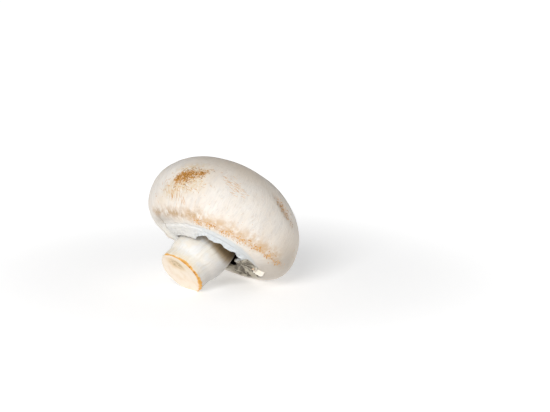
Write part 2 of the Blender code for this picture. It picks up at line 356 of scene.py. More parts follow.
def shapeVeil(radius, height, angle):
    # pulled back to its torn edge, folded and drawn down the stem where it still holds
    rim, inner = cap["rimRadius"], veil["innerRadius"]
    isVeil = 1.0 - smooth(-cap["rimDrop"] + 1.0 * mm, -cap["rimDrop"] + 2.0 * mm, height)
    across = isVeil * np.maximum(0.0, (rim - radius) / (rim - inner))
    edge = tearRadius(angle)
    folds = veil["foldDepth"] * np.sin(veil["foldCount"] * np.radians(angle)) * smooth(0.0, 0.5, across)
    drawn = (folds - veil["cling"] * across**2) * wholeness(edge)
    pulled = rim + (edge - rim) * across
    ledge = rim - veil["ledgeInset"]
    tucked = smooth(ledge + 0.15 * mm, ledge - 0.35 * mm, pulled)
    tucked = tucked * ranged(angle, *veil["ledgeSides"]) * smooth(*veil["ledgeReach"], pulled)
    curled = veil["steps"]["curl"] * tornSteps(angle) * smooth(0.75, 1.0, across) * (1.0 - wholeness(edge))
    height = height + np.where(across > 0, drawn + veil["ledgeDepth"] * tucked + curled, 0.0)
    return np.where(across > 0, pulled, radius), height, tucked * (across > 0)


def shapeCap(radius, height, angle):
    turn = np.radians(angle)
    radius, height, tucked = shapeVeil(radius, height, angle)
    low = 1.0 - smooth(-cap["rimDrop"], cap["flankTop"], height)
    outer = smooth(cap["rimRadius"] * 0.7, cap["radius"], radius)
    height = height - cap["rimSway"] * np.cos(np.radians(angle - cap["rimSide"])) * low
    height = height - cap["lop"] * (1.0 - np.cos(turn)) / 2 * outer
    uneven = cap["uneven"][0] * np.cos(2 * turn + 2.2) + cap["uneven"][1] * np.cos(3 * turn - 1.1)
    fuller = (cap["flankFullness"] - cap["flankSway"] * np.cos(turn)) * low
    dented = smooth(cap["rimRadius"], cap["radius"] * 0.9, radius) * np.sin(np.pi * low)
    radius = radius * (1.0 + outer * (uneven + fuller))
    radius = radius - cap["dentDepth"] * angleBell(angle, cap["dentSide"], cap["dentHalfWidth"]) * dented
    return onRing(radius, turn, height), tucked


# Marks on the skin: angle, mm down from the crown, half width in degrees, half height in mm, mm a degree
skinMarks = {
    "bruise": [(50, 32, 8, 3.2, -0.2), (60, 30, 4, 2.0, -0.2), (43, 33.5, 4.5, 2.0, -0.2)],
    "halo": [
        (50, 33, 17, 5.0, -0.2), (58, 34.5, 11, 2.5, -0.1),
        (46, 28.5, 13, 2.0, -0.2), (40, 37.5, 9, 2.5, 0.0),
    ],
    "speckles": [(130, 25, 12, 2.5, 0.16)],
    # painted shade: a grey darkening on the left rim and the lower right side
    "paintedShade": [
        (15, 47, 30, 2.5, 0.0), (160, 43, 28, 5.0, -0.1),
        (178, 46, 26, 4.5, 0.0), (157, 38.5, 20, 6.5, 0.0),
    ],
    # painted shade: a beige darkening over the crown's top edge, the lower right and the left flank
    "beigeShade": [(75, 19, 70, 9.0, 0.0), (155, 36, 32, 10.0, 0.0), (30, 41, 14, 3.0, 0.0)],
    # bands: mm above the skin's end or above the scuff, half height, and the degrees between which they show
    "smudge": (5.0, 2.0, 0.0, 80.0),
    "ruddy": (1.6, 2.0, 50.0, 155.0),
    "scuffLine": (60.0, 44.5, -0.045),  # where it starts (degrees, mm down), and mm a degree
    "scuffHalfHeight": 1.05,
    "palePatch": [(155, 49.5, 7, 1.5, 0.0)],
}

# Where some marks show, in degrees: they start, are full, fade and end
markSides = {
    "tornEdge": (50, 96, 132, 146),
    "heldShade": (140, 150, 300, 340),
    "scuffed": (56, 74, 150, 168),
    "white": (40, 100, 160, 200),  # the rest of the veil is creamy
    "lowRim": (158, 172, 225, 250),
}


def patch(angle, down, mark):
    centre, level, width, height, slope = mark
    along = around(angle, centre)
    rise = down - level - slope * along
    return np.exp(-1.6 * ((along / width) ** 2 + (rise / height) ** 2))


def patches(angle, down, label):
    return np.clip(sum(patch(angle, down, mark) for mark in skinMarks[label]), 0.0, 1.0)


def skinLevel(angle):
    # how far down from the crown the skin ends and the pale veil begins
    (low, lowWidth, fall), (high, highWidth, rise) = cap["skinLow"], cap["skinHigh"]
    return cap["skinEnd"] + fall * angleBell(angle, low, lowWidth) - rise * angleBell(angle, high, highWidth)


def band(down, level, angle, label):
    rise, halfHeight, start, end = skinMarks[label]
    return np.exp(-(((down - level + rise) / halfHeight) ** 2)) * between(start, end, 15.0, angle)


def scuffLevel(angle):
    start, level, slope = skinMarks["scuffLine"]
    return level + slope * around(angle, start)


def columnAngles():
    # where the grid's columns stand, once round
    step = np.arange(cap["columns"] + 1) / cap["columns"]
    crowded = np.sin(2 * np.pi * (step - 0.5)) * cap["crowding"]
    return 360.0 * (step + crowded) + cap["crowdedSide"] + 180.0


def capSurface():
    line, down, names = capProfile()
    angle = columnAngles()[:-1] % 360.0
    columns = len(angle)
    radius, height = (spun(values, columns) for values in line.T)
    down = spun(down, columns)
    angle = np.repeat(angle[None], len(line), 0)
    on = {name: spun(names == name, columns) for name in cap["rows"]}
    points, tucked = shapeCap(radius, height, angle)
    turn = np.radians(angle)

    outside = np.maximum(on["crown"], on["flank"]).astype(float)
    isUnder = on["under"].astype(float)
    shown = np.maximum(outside, isUnder)
    whole = wholeness(tearRadius(angle))
    fromEdge = np.hypot(points[..., 0], points[..., 1]) - tearRadius(angle)
    wander = 0.45 * noise(points, 260.0, 21) + 0.25 * noise(points, 800.0, 22)
    crease = skinLevel(angle) + wander
    labels = ("bruise", "halo", "speckles", "paintedShade", "beigeShade", "palePatch")
    marks = {label: patches(angle, down, label) for label in labels}
    marks |= {label: patch(angle, down, cap[label]) * shown for label in ("litFlap", "shadedFlapCrease")}
    marks["smudge"] = band(down, skinLevel(angle), angle, "smudge")
    marks["ruddy"] = band(down, scuffLevel(angle), angle, "ruddy")
    scuffed = np.exp(-(((down - scuffLevel(angle)) / skinMarks["scuffHalfHeight"]) ** 2))
    marks["scuffed"] = scuffed * ranged(angle, *markSides["scuffed"])
    fade = 0.3 + 1.1 * angleBell(angle, 20, 55) + 0.6 * angleBell(angle, 132, 34)
    marks["veilTone"] = np.maximum(smooth(crease - fade, crease + fade, down), 1.0 - shown)
    marks["tornEdge"] = smooth(2.4 * mm, 0.6 * mm, fromEdge) * (1.0 - whole) * shown
    marks["tornEdge"] = marks["tornEdge"] * ranged(angle, *markSides["tornEdge"])
    marks["cream"] = 1.0 - ranged(angle, *markSides["white"])
    marks["inside"] = 1.0 - np.maximum(shown, on["edge"])
    rimLevel = 47.0 - 1.6 * ranged(angle, *markSides["lowRim"])
    # painted shade: the far veil that still holds and the tuck under its ledge, painted dark
    heldShade = ranged(angle, *markSides["heldShade"]) * (1.0 - 0.85 * smooth(228, 262, angle))
    marks["heldShade"] = heldShade * smooth(rimLevel, rimLevel + 2.0, down)
    marks["heldShade"] = np.maximum(marks["heldShade"], tucked) * np.maximum(shown, on["edge"])
    # painted shade, darker close to the gap by the stem
    marks["nearGapShade"] = marks["heldShade"] * smooth(2.6 * mm, 0.2 * mm, fromEdge)

    # soft lumps, silk down the skin, the groove, the crease and roll above the veil, torn layers, strands
    silk = onRing(42, turn, down * 0.25)
    relief = cap["lumps"] * layered(points, 130.0, 3, layers=2) * shown
    relief += cap["silkRelief"] * layered(silk, 1.0, 9, layers=2) * outside * smooth(10, 22, down)
    relief -= cap["grooveDepth"] * patch(angle, down, cap["groove"]) * outside
    relief -= cap["leftHollowDepth"] * patch(angle, down, cap["leftHollow"]) * outside
    relief += 0.05 * mm * marks["bruise"] * noise(points, 1500.0, 12)
    creaseWidth = cap["creaseWidth"] / mm
    deeper = 0.45 + 0.55 * angleBell(angle, 50, 75)
    relief -= cap["creaseDepth"] * bell(down, crease + 0.2, creaseWidth) * shown * deeper
    relief += cap["rollHeight"] * bell(down, crease + creaseWidth + 0.9, 1.3) * shown
    relief += cap["sideBumpHeight"] * patch(angle, down, cap["sideBump"])
    relief += cap["flapHeight"] * patch(angle, down, cap["litFlap"]) * shown
    relief -= cap["flapCreaseDepth"] * patch(angle, down, cap["shadedFlapCrease"]) * shown
    ripple = np.stack([points[..., 0] / mm * 0.9, points[..., 1] / mm * 0.9, down * 1.1], -1)
    room = smooth(0.2 * mm, 1.8 * mm, cap["rimRadius"] - tearRadius(angle))
    inner = isUnder * smooth(0.0, 0.8 * mm, fromEdge) * room
    relief += veil["relief"] * layered(ripple, 1.0, 14, layers=3, gain=0.6) * inner
    ring = onRing(10, turn, 0.0)
    reach = veil["layerReach"] * (0.55 + 0.5 * noise(ring, 0.8, 17) + 0.2 * noise(ring, 2.6, 18))
    layer = (1.0 - smooth(reach - 0.12 * mm, reach + 0.12 * mm, fromEdge)) * isUnder * (1.0 - whole)
    relief -= veil["layerStep"] * layer * room
    fan = points[..., :2] - veil["fanMiddle"]
    spread = np.linalg.norm(fan, axis=-1, keepdims=True)
    folded = np.concatenate([fan / np.maximum(spread, 0.5 * mm) * 3.4, spread / mm * 0.10], -1)
    relief += veil["strands"] * layered(folded, 1.0, 33, layers=3, gain=0.6) * marks["heldShade"] * isUnder * room
    marks["folds"] = folded
    points = points + gridNormals(points) * relief[..., None] * smooth(0.0, 2.0 * mm, radius)[..., None]

    marks["grain"] = onRing(25, turn, down)
    marks["upright"] = points / mm
    marks["silky"] = smooth(9.0, 20.0, down)
    return points, marks


stem = {
    "radius": 9.0 * mm,
    "endRadius": 7.5 * mm,
    "root": 4.0 * mm,
    "length": 21.8 * mm,
    "cutHollow": 0.5 * mm,
    "lean": 3.7 * mm,
    "leanToTear": 0.5 * mm,
    "leanStart": 9.0 * mm,
    "cutTilt": 12.3,
    "cutTiltToTear": 9.0,
    "flare": (292.0, 60.0, 1.2 * mm),  # the cut end spreads on its lower side: angle, half width, how far
    "hollow": (185.0, 60.0, 9.0 * mm, 11.0 * mm, 1.0 * mm),  # side, half width, mm down, half height, depth
    "columns": 260,
    "sideRows": 170,
    "cutRows": 64,
    "streaks": 0.06 * mm,
    "lumps": 0.10 * mm,
    "splits": 0.10 * mm,
    "rimScallop": 0.14 * mm,
    "ochreSides": (0, 25, 196, 226),  # degrees: the rim's ochre starts, is full, fades, ends
    "lipHeight": 0.16 * mm,
    "sunkDepth": 0.35 * mm,
    "sunkPlace": (2.7, 2.0, 150.0, 3.0, 2.0),  # mm from the stem's middle, direction, half length, half width
}


def stemProfile():
    end = -stem["length"]
    wide, narrow = stem["radius"], stem["endRadius"]
    side = [
        (wide * 0.96, stem["root"]), (wide * 0.97, 0.0), (wide, -8.0 * mm), (wide, -12.0 * mm),
        (wide * 0.985, -14.5 * mm), (wide * 0.935, -16.3 * mm), (narrow * 1.02, -18.0 * mm),
        (narrow, end + 2.0 * mm), (narrow * 1.01, end + 0.6 * mm), (narrow * 0.985, end + 0.1 * mm),
    ]
    return softened(side, stem["sideRows"])


def stemSurface():
    side = stemProfile()
    rimRadius = side[-1, 0]
    inward = np.linspace(0.0, 1.0, stem["cutRows"] + 1)[1:]
    face = -stem["length"] + stem["cutHollow"] * inward**1.5
    cut = np.stack([rimRadius * (1.0 - inward), face - stem["lipHeight"] * 0.4 * bell(inward, 0.10, 0.10)], 1)
    line = np.concatenate([[(0.0, stem["root"])], side, cut])
    onCut = np.concatenate([[0.0], np.zeros(len(side)), np.ones(len(cut))])
    angle = np.linspace(0.0, 360.0, stem["columns"], endpoint=False)
    radius, height = (spun(values, len(angle)) for values in line.T)
    angle = np.repeat(angle[None], len(line), 0)
    onCut = spun(onCut, angle.shape[1])
    onSide = 1.0 - onCut
    turn = np.radians(angle)
    points = onRing(radius, turn, height)

    # fibres and shallow splits run along the stem; the cut face has a sunken patch beside its rim
    fibre = onRing(12, turn, height / mm * 0.09)
    relief = stem["streaks"] * layered(fibre, 1.0, 41, layers=3, gain=0.6) * onSide
    split = onRing(7, turn, height / mm * 0.07)
    relief -= stem["splits"] * smooth(0.25, 0.7, noise(split, 1.0, 43)) * onSide
    relief += stem["lumps"] * layered(points, 170.0, 44, layers=2) * onSide
    nearRim = bell(height, -stem["length"] + 0.3 * mm, 1.0 * mm) * onSide
    scallop = onRing(6, turn, 0.0)
    relief += stem["rimScallop"] * (0.4 + layered(scallop, 1.0, 47, layers=2)) * nearRim
    middleX, middleY, direction, long, wide = stem["sunkPlace"]
    along = np.cos(np.radians(direction)), np.sin(np.radians(direction))
    offX, offY = points[..., 0] / mm - middleX, points[..., 1] / mm - middleY
    lengthwise = (offX * along[0] + offY * along[1]) / long
    crosswise = (offX * along[1] - offY * along[0]) / wide
    sunk = np.exp(-(lengthwise**2) - crosswise**2)
    flat = onCut * smooth(rimRadius, rimRadius * 0.86, radius)
    relief += (0.03 * mm * layered(points, 420.0, 51, layers=3) - stem["sunkDepth"] * sunk) * flat
    side, halfWidth, drop, halfHeight, depth = stem["hollow"]
    relief -= depth * angleBell(angle, side, halfWidth) * bell(-height, drop, halfHeight) * onSide
    points = points + gridNormals(points) * relief[..., None] * smooth(0.0, 1.0 * mm, radius)[..., None]

    drop = -height / mm
    end = -stem["length"]
    rimWide = 0.65 + 0.7 * angleBell(angle, 88, 34) + 0.55 * angleBell(angle, 140, 38)
    paler = 1.0 - 0.4 * smooth(19.0, 21.0, drop)
    shadeEnd = 14.4 + 1.8 * angleBell(angle, 135, 60)
    marks = {
        "cutFace": onCut,
        "rimTone": bell(height, end + 0.1 * mm, rimWide * mm) * onSide
        + onCut * smooth(rimRadius - (0.3 + 1.2 * angleBell(angle, 158, 46)) * mm, rimRadius, radius),
        "bleed": smooth(end + 2.6 * mm, end, height) * onSide * angleBell(angle, 84, 46),
        "rimWash": smooth(end + 4.0 * mm, end, height) * onSide * angleBell(angle, 60, 110),
        "rimSide": ranged(angle, *stem["ochreSides"]),
        "rimDark": angleBell(angle, 112, 55),
        # painted shade: grey on the side turned from the light, weaker near the cut
        "farSideShade": angleBell(angle, 158, 70) * smooth(9.0, 13.0, drop) * paler,
        "sunken": sunk * flat,
        # painted shade: a warm tone on the stem just under the veil
        "underVeilShade": (1.0 - smooth(8.6, 12.6, drop)) * angleBell(angle, 78, 86),
        "shaded": (1.0 - smooth(10.8, shadeEnd, drop)) * angleBell(angle, 128, 98),
        "grain": onRing(9, turn, drop),
        "upright": points / mm,
    }
    share = smooth(stem["leanStart"], stem["length"], -points[..., 2])
    drift = smooth(stem["leanStart"], stem["length"] + 2.0 * mm, -points[..., 2])
    uneven = 1.0 + 0.015 * np.cos(2 * turn + 1.0) + 0.01 * np.cos(3 * turn)
    side, halfWidth, reach = stem["flare"]
    uneven = uneven + angleBell(angle, side, halfWidth) * smooth(16.0, 21.0, drop) * reach / stem["endRadius"]
    rise = points[..., 0] * math.tan(math.radians(stem["cutTilt"]))
    rise = rise + points[..., 1] * math.tan(math.radians(stem["cutTiltToTear"]))
    points = np.stack([
        points[..., 0] * uneven + stem["lean"] * drift,
        points[..., 1] * uneven + stem["leanToTear"] * drift,
        points[..., 2] + rise * share,
    ], -1)
    return points, marks


class Finish:
    # a node material with short calls for what every finish here uses

    def __init__(self, name):
        self.material = bpy.data.materials.new(name)
        self.material.use_nodes = True
        self.nodes = self.material.node_tree.nodes
        self.links = self.material.node_tree.links
        self.shader = self.nodes["Principled BSDF"]
        self.shader.inputs["IOR"].default_value = 1.4
        self.shader.inputs["Specular IOR Level"].default_value = 0.3

    def node(self, kind, **settings):
        added = self.nodes.new(kind)
        for key, value in settings.items():
            setattr(added, key, value)
        return added

    def put(self, socket, value):
        if isinstance(value, bpy.types.NodeSocket):
            self.links.new(value, socket)
        else:
            socket.default_value = value

    def mark(self, label, vector=False):
        return self.node("ShaderNodeAttribute", attribute_name=label).outputs["Vector" if vector else "Fac"]

    def math(self, operation, first, second=0.0, clamp=False):
        added = self.node("ShaderNodeMath", operation=operation, use_clamp=clamp)
        self.put(added.inputs[0], first)
        self.put(added.inputs[1], second)
        return added.outputs[0]

    def times(self, *values):
        total = values[0]
        for value in values[1:]:
            total = self.math("MULTIPLY", total, value)
        return total

    def stretched(self, place, scale):
        mapping = self.node("ShaderNodeMapping")
        self.put(mapping.inputs["Vector"], place)
        mapping.inputs["Scale"].default_value = scale
        return mapping.outputs[0]

    def texture(self, place, scale, detail=3.0, roughness=0.55, distortion=0.0):
        added = self.node("ShaderNodeTexNoise")
        self.put(added.inputs["Vector"], place)
        settings = {"Scale": scale, "Detail": detail, "Roughness": roughness, "Distortion": distortion}
        for label, value in settings.items():
            added.inputs[label].default_value = value
        return added.outputs["Fac"]

    def bent(self, place, scale, reach):
        # the place, pushed about by a soft noise, so that strokes curve
        push = self.node("ShaderNodeTexNoise")
        self.put(push.inputs["Vector"], place)
        push.inputs["Scale"].default_value = scale
        push.inputs["Detail"].default_value = 1.0
        centred = self.node("ShaderNodeVectorMath", operation="SUBTRACT")
        self.put(centred.inputs[0], push.outputs["Color"])
        centred.inputs[1].default_value = (0.5, 0.5, 0.5)
        scaled = self.node("ShaderNodeVectorMath", operation="MULTIPLY_ADD")
        self.put(scaled.inputs[0], centred.outputs[0])
        scaled.inputs[1].default_value = (reach, reach, reach)
        self.put(scaled.inputs[2], place)
        return scaled.outputs[0]

    def ramp(self, value, low, high):
        added = self.node("ShaderNodeMapRange", interpolation_type="SMOOTHSTEP")
        self.put(added.inputs["Value"], value)
        added.inputs["From Min"].default_value = low
        added.inputs["From Max"].default_value = high
        return added.outputs["Result"]

    def mix(self, share, first, second):
        added = self.node("ShaderNodeMix", data_type="RGBA")
        self.put(added.inputs[0], share)
        self.put(added.inputs[6], first)
        self.put(added.inputs[7], second)
        return added.outputs[2]

    def over(self, colour, tone, *shares):
        # the tone laid over the colour, as far as all the shares let it
        return self.mix(self.times(*shares), colour, tone)

    def bump(self, height, strength, distance, below=None):
        added = self.node("ShaderNodeBump")
        added.inputs["Strength"].default_value = strength
        added.inputs["Distance"].default_value = distance
        self.put(added.inputs["Height"], height)
        if below is not None:
            self.put(added.inputs["Normal"], below)
        return added.outputs["Normal"]

    def done(self, colour, roughness, normal=None, scatter=0.0):
        self.put(self.shader.inputs["Base Color"], colour)
        self.put(self.shader.inputs["Roughness"], roughness)
        if normal is not None:
            self.put(self.shader.inputs["Normal"], normal)
        if scatter:
            self.shader.inputs["Subsurface Weight"].default_value = scatter
            self.shader.inputs["Subsurface Radius"].default_value = (1.0, 0.9, 0.75)
            self.shader.inputs["Subsurface Scale"].default_value = 0.5 * mm
        return self.material


skinTones = {
    "base": tint(231, 226, 219),
    "warm": tint(228, 218, 206),
    "cool": tint(212, 207, 202),
    "thread": tint(206, 186, 162),
    "beigeShade": tint(222, 206, 186),
    "ruddy": tint(204, 174, 138),
    "smudge": tint(182, 152, 116),
    # grey of the painted shade, on the rim, the lower right and in the groove
    "paintedShade": tint(180, 171, 160),
    "scuff": tint(198, 152, 96),
    "scuffDark": tint(174, 114, 48),
    "halo": tint(214, 188, 142),
    "bruise": tint(186, 126, 44),
    "bruiseDark": tint(122, 76, 18),
    "veil": tint(210, 213, 214),
    "tornEdge": tint(207, 211, 213),
    "veilCream": tint(225, 223, 219),
    # painted highlight: the flap's cream painted lighter, as where light falls on it
    "litFlap": tint(246, 240, 228),
    # painted shade along the crease beside the flap
    "shadedFlapCrease": tint(150, 138, 124),
    "veilShade": tint(200, 200, 196),
    # painted shade on the far veil, grey-brown, with darker stripes along its folds
    "heldShade": tint(190, 182, 164),
    "heldShadeDark": tint(74, 62, 42),
    "palePatch": tint(206, 198, 184),
    # painted shade by the gap
    "nearGapShade": tint(70, 58, 40),
    "inside": tint(84, 64, 48),
}


def capFinish():
    look = Finish("silkySkin")
    place = look.mark("upright", vector=True)
    grain = look.mark("grain", vector=True)
    swept = look.bent(grain, 0.18, 2.4)
    hairs = look.texture(look.stretched(swept, (1.7, 1.7, 0.28)), 1.0, detail=4.0, roughness=0.65)
    fineHairs = look.texture(look.stretched(swept, (4.2, 4.2, 0.6)), 1.0, detail=2.0, roughness=0.6)
    cloud = look.texture(place, 0.14, detail=3.0)
    patchy = look.texture(place, 0.45, detail=4.0, roughness=0.6)
    silky = look.mark("silky")
    colour = look.over(skinTones["base"], skinTones["warm"], look.ramp(cloud, 0.36, 0.72), 0.8)
    colour = look.over(colour, skinTones["cool"], look.ramp(patchy, 0.5, 0.72), 0.5)
    sweeps = look.texture(look.stretched(swept, (0.8, 0.8, 0.14)), 1.0, detail=5.0, roughness=0.62)
    colour = look.over(colour, skinTones["cool"], look.ramp(sweeps, 0.48, 0.7), silky, 0.5)
    colour = look.over(colour, skinTones["cool"], look.ramp(hairs, 0.46, 0.72), silky, 0.55)
    threads = look.times(look.ramp(fineHairs, 0.52, 0.72), look.ramp(patchy, 0.36, 0.66))
    colour = look.over(colour, skinTones["thread"], threads, silky, 0.6)

    # painted shade in beige
    colour = look.over(colour, skinTones["beigeShade"], look.mark("beigeShade"), 0.6)
    ruddy = look.times(look.mark("ruddy"), look.ramp(patchy, 0.30, 0.62))
    colour = look.over(colour, skinTones["ruddy"], ruddy, 0.85)
    blotch = look.texture(look.bent(place, 0.3, 1.5), 0.55, detail=5.0, roughness=0.6)
    blotched = look.math("ADD", blotch, look.times(hairs, 0.4))
    smudged = look.times(look.mark("smudge"), look.ramp(blotched, 0.5, 0.86))
    colour = look.over(colour, skinTones["smudge"], smudged, 0.95)

    scuffed = look.mark("scuffed")
    flecks = look.texture(look.bent(place, 0.8, 1.0), 1.5, detail=5.0, roughness=0.72)
    soft = look.times(scuffed, look.ramp(flecks, 0.36, 0.62))
    colour = look.over(colour, skinTones["scuff"], soft, 0.75)
    colour = look.over(colour, skinTones["scuffDark"], scuffed, look.ramp(flecks, 0.58, 0.70), 0.8)
    speckles = look.mark("speckles")
    # painted shade in the groove where the speckles lie
    colour = look.over(colour, skinTones["paintedShade"], speckles, 0.35)
    colour = look.over(colour, skinTones["scuff"], speckles, look.ramp(flecks, 0.36, 0.66), 0.7)

    ringed = look.texture(place, 0.8, detail=4.0, roughness=0.7)
    halo = look.times(look.mark("halo"), look.ramp(ringed, 0.36, 0.6))
    colour = look.over(colour, skinTones["halo"], halo, 0.6)
    bruise = look.mark("bruise")
    torn = look.texture(look.bent(place, 0.9, 0.9), 2.6, detail=4.0, roughness=0.75)
    clotted = look.texture(look.bent(place, 0.7, 1.0), 1.2, detail=3.0, roughness=0.65)
    clots = look.math("ADD", look.times(torn, 0.7), look.times(clotted, 0.6))
    near = look.math("ADD", look.times(bruise, 0.24), clots)
    colour = look.over(colour, skinTones["halo"], bruise, 0.35)
    colour = look.over(
        colour, skinTones["bruise"], look.ramp(near, 0.74, 0.88), look.ramp(bruise, 0.02, 0.3), 0.9,
    )
    colour = look.over(
        colour, skinTones["bruiseDark"], look.ramp(near, 0.90, 1.0), look.ramp(bruise, 0.3, 0.7),
    )

    veilTone = look.mark("veilTone")
    veilColour = look.mix(look.mark("cream"), skinTones["veil"], skinTones["veilCream"])
    veilColour = look.over(veilColour, skinTones["veilShade"], look.ramp(patchy, 0.5, 0.78), 0.6)
    veilColour = look.over(
        veilColour, skinTones["tornEdge"], look.mark("tornEdge"), look.ramp(patchy, 0.25, 0.5),
    )
    flaked = look.texture(look.bent(place, 1.0, 0.8), 1.3, detail=4.0, roughness=0.65)
    veilColour = look.over(veilColour, skinTones["veilShade"], look.ramp(flaked, 0.50, 0.68), 0.35)
    colour = look.mix(veilTone, colour, veilColour)
    strands = look.texture(look.mark("folds", vector=True), 1.3, detail=4.0, roughness=0.6)
    heldShadeColour = look.mix(look.ramp(strands, 0.42, 0.60), skinTones["heldShade"], skinTones["heldShadeDark"])
    heldShadeColour = look.over(
        heldShadeColour, skinTones["palePatch"], look.mark("palePatch"), look.ramp(patchy, 0.3, 0.5),
    )
    heldShadeColour = look.over(
        heldShadeColour, skinTones["nearGapShade"], look.mark("nearGapShade"), look.ramp(strands, 0.3, 0.5), 0.8,
    )
    # painted shade on the rim and lower right, the flap painted lighter as a highlight, and painted shade
    # along its crease
    for label, share in (("paintedShade", 0.68), ("litFlap", 0.95), ("shadedFlapCrease", 0.85)):
        colour = look.over(colour, skinTones[label], look.mark(label), share)
    colour = look.over(colour, heldShadeColour, look.mark("heldShade"), 0.92)
    colour = look.mix(look.mark("inside"), colour, skinTones["inside"])

    rough = look.math("ADD", look.times(hairs, 0.14), 0.48)
    grainBump = look.bump(look.texture(place, 3.2, detail=5.0, roughness=0.7), 0.22, 0.12 * mm)
    hairBump = look.bump(look.times(look.math("ADD", hairs, sweeps), silky), 0.6, 0.22 * mm, grainBump)
    normal = look.bump(look.times(fineHairs, silky), 0.3, 0.08 * mm, hairBump)
    return look.done(colour, rough, normal, scatter=0.2)


stemTones = {
    "base": tint(233, 227, 216),
    "streak": tint(214, 204, 188),
    "pale": tint(229, 228, 225),
    "wash": tint(234, 216, 178),
    "shade": tint(136, 110, 68),
    "shadeDark": tint(84, 64, 36),
    "greyShade": tint(196, 192, 188),
    "underVeilShade": tint(206, 180, 132),
    "ochre": tint(224, 170, 88),
    "ochreDark": tint(176, 108, 32),
    "cut": tint(233, 221, 206),
    "cutDark": tint(224, 205, 180),
    "sunken": tint(166, 146, 112),
    "stain": tint(214, 184, 136),
    "speck": tint(120, 96, 62),
}


def stemFinish():
    look = Finish("stemFlesh")
    place = look.mark("upright", vector=True)
    grain = look.bent(look.mark("grain", vector=True), 0.25, 1.2)
    streak = look.texture(look.stretched(grain, (1.5, 1.5, 0.20)), 1.0, detail=5.0, roughness=0.65)
    fine = look.texture(look.stretched(grain, (4.5, 4.5, 0.5)), 1.0, detail=3.0, roughness=0.6)
    broad = look.texture(place, 0.22, detail=2.0)
    colour = look.mix(look.ramp(broad, 0.42, 0.62), stemTones["base"], stemTones["pale"])
    colour = look.over(colour, stemTones["streak"], look.ramp(streak, 0.5, 0.74), 0.7)
    colour = look.over(colour, stemTones["wash"], look.mark("rimWash"), look.ramp(streak, 0.25, 0.65), 0.6)
    colour = look.over(colour, stemTones["greyShade"], look.mark("farSideShade"), 0.8)
    colour = look.over(colour, stemTones["underVeilShade"], look.mark("underVeilShade"), 0.75)
    shaded = look.mark("shaded")
    # painted shade under the cap, broken by the streaks
    shadeStreaked = look.math("ADD", look.times(shaded, 1.0), look.times(streak, 0.2))
    colour = look.over(colour, stemTones["shade"], look.ramp(shadeStreaked, 0.36, 0.95), 0.85)
    colour = look.over(colour, stemTones["shadeDark"], look.ramp(shadeStreaked, 0.86, 1.1), 0.7)

    mottled = look.texture(place, 0.42, detail=3.0, roughness=0.5)
    cutColour = look.over(stemTones["cut"], stemTones["cutDark"], look.ramp(mottled, 0.40, 0.74), 0.7)
    sunken = look.mark("sunken")
    spotty = look.texture(look.bent(place, 0.6, 1.2), 1.0, detail=4.0, roughness=0.6)
    cutColour = look.over(cutColour, stemTones["stain"], look.ramp(sunken, 0.0, 0.5), 0.6)
    cutColour = look.over(
        cutColour, stemTones["sunken"], look.ramp(sunken, 0.2, 0.9), look.ramp(spotty, 0.36, 0.6), 0.75,
    )
    cutColour = look.over(
        cutColour, stemTones["speck"], look.ramp(sunken, 0.3, 0.9), look.ramp(spotty, 0.60, 0.70), 0.7,
    )
    colour = look.mix(look.mark("cutFace"), colour, cutColour)

    uneven = look.texture(place, 0.8, detail=4.0, roughness=0.65)
    rim = look.times(look.mark("rimTone"), look.mark("rimSide"))
    near = look.math("ADD", rim, look.times(look.math("SUBTRACT", uneven, 0.5), 2.2))
    colour = look.over(colour, stemTones["wash"], look.mark("bleed"), look.ramp(uneven, 0.40, 0.62), 0.7)
    colour = look.over(colour, stemTones["ochre"], look.ramp(near, 0.30, 0.75), look.ramp(rim, 0.01, 0.2))
    colour = look.over(colour, stemTones["ochreDark"], look.ramp(near, 0.8, 1.2), look.mark("rimDark"))
    grainBump = look.bump(look.texture(place, 3.0, detail=5.0, roughness=0.7), 0.22, 0.14 * mm)
    along = look.math("SUBTRACT", 1.0, look.mark("cutFace"))
    streakBump = look.bump(look.times(streak, along), 0.5, 0.25 * mm, grainBump)
    normal = look.bump(look.times(fine, along), 0.35, 0.12 * mm, streakBump)
    return look.done(colour, 0.55, normal, scatter=0.2)


def gillFinish():
    look = Finish("gillBrown")
    place = look.node("ShaderNodeTexCoord").outputs["Object"]
    blotch = look.texture(place, 260.0, detail=3.0)
    colour = look.mix(look.ramp(blotch, 0.35, 0.7), tint(128, 92, 76), tint(88, 58, 46))
    return look.done(colour, 0.7, look.bump(blotch, 0.2, 0.1 * mm))


gills = {
    "longCount": 150,
    "shortCount": 150,
    "thickness": 0.24 * mm,
    "innerRadius": 10.4 * mm,
    "shortInnerRadius": 14.2 * mm,
    "outerRadius": 18.2 * mm,
    "depth": 5.6 * mm,
    "clearance": 0.4 * mm,
    "columns": 12,
    "rows": 4,
    "bedRows": 10,
    "bedColumns": 180,
    "bedThickness": 0.5 * mm,
    "sway": 0.006,
    "seed": 7,
}


def gillRoof(radius):
    past = np.clip((radius - chamber["bend"]) / (chamber["radius"] - chamber["bend"]), 0.0, 1.0)
    half = (cap["rimDrop"] - veil["thickness"] + chamber["roof"]) / 2
    return chamber["roof"] - half + half * np.sqrt(1.0 - past**2) - gills["clearance"]


